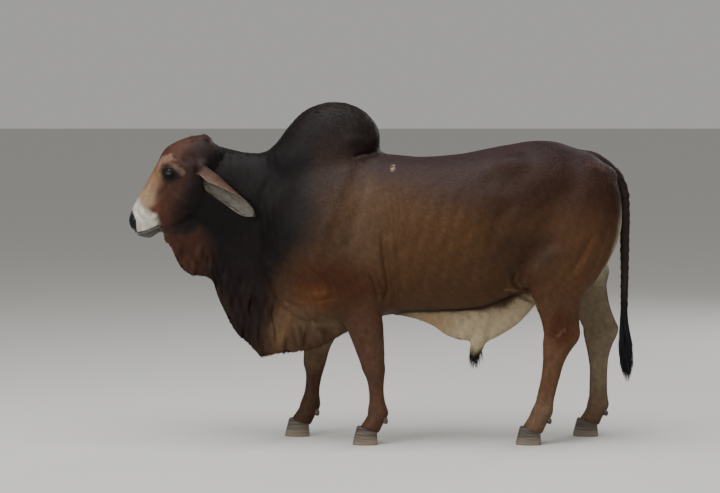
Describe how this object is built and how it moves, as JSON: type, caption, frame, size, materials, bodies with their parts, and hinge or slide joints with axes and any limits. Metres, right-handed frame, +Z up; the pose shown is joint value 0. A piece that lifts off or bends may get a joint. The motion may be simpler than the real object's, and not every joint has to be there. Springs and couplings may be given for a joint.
{
  "type": "brahman bull",
  "caption": "Life-size standing Brahman bull with tall shoulder hump, long hanging ears, deep pleated dewlap, loose sheath fold and long tufted tail.",
  "frame": {"origin": "middle of the animal's box in plan, on the floor under the soles", "axes": "+Z up, the head towards -X, the animal's left side towards -Y"},
  "size_m": [2.5312, 0.7054, 1.6933],
  "materials": {
    "red_coat": "short red-brown cattle hair",
    "dark_coat": "short near-black brown hair over loose skin",
    "face_coat": "short red-brown hair, whitish towards the muzzle",
    "ear_coat": "fine pinkish brown hair, greyish skin inside",
    "pale_coat": "thin pale tan hair over skin",
    "tail_hair": "long coarse black hair",
    "horn": "dull dark horn",
    "eyes": "wet dark brown"
  },
  "bodies": {
    "root": {"torso": "red_coat", "foreleg_left": "red_coat", "foreleg_right": "red_coat", "hindleg_left": "red_coat", "hindleg_right": "red_coat", "ear_left": "ear_coat", "ear_right": "ear_coat", "head": "face_coat", "neck": "dark_coat", "hump": "dark_coat", "dewlap_throat": "dark_coat", "dewlap_brisket": "dark_coat", "tail": "dark_coat", "tail_switch": "tail_hair", "sheath": "pale_coat", "scrotum": "pale_coat", "eye_left": "eyes", "eye_right": "eyes", "hoof_fore_left_outer": "horn", "hoof_fore_left_inner": "horn", "hoof_fore_right_outer": "horn", "hoof_fore_right_inner": "horn", "hoof_hind_left_outer": "horn", "hoof_hind_left_inner": "horn", "hoof_hind_right_outer": "horn", "hoof_hind_right_inner": "horn", "dewclaw_fore_left_outer": "horn", "dewclaw_fore_left_inner": "horn", "dewclaw_fore_right_outer": "horn", "dewclaw_fore_right_inner": "horn", "dewclaw_hind_left_outer": "horn", "dewclaw_hind_left_inner": "horn", "dewclaw_hind_right_outer": "horn", "dewclaw_hind_right_inner": "horn"}
  },
  "joints": []
}
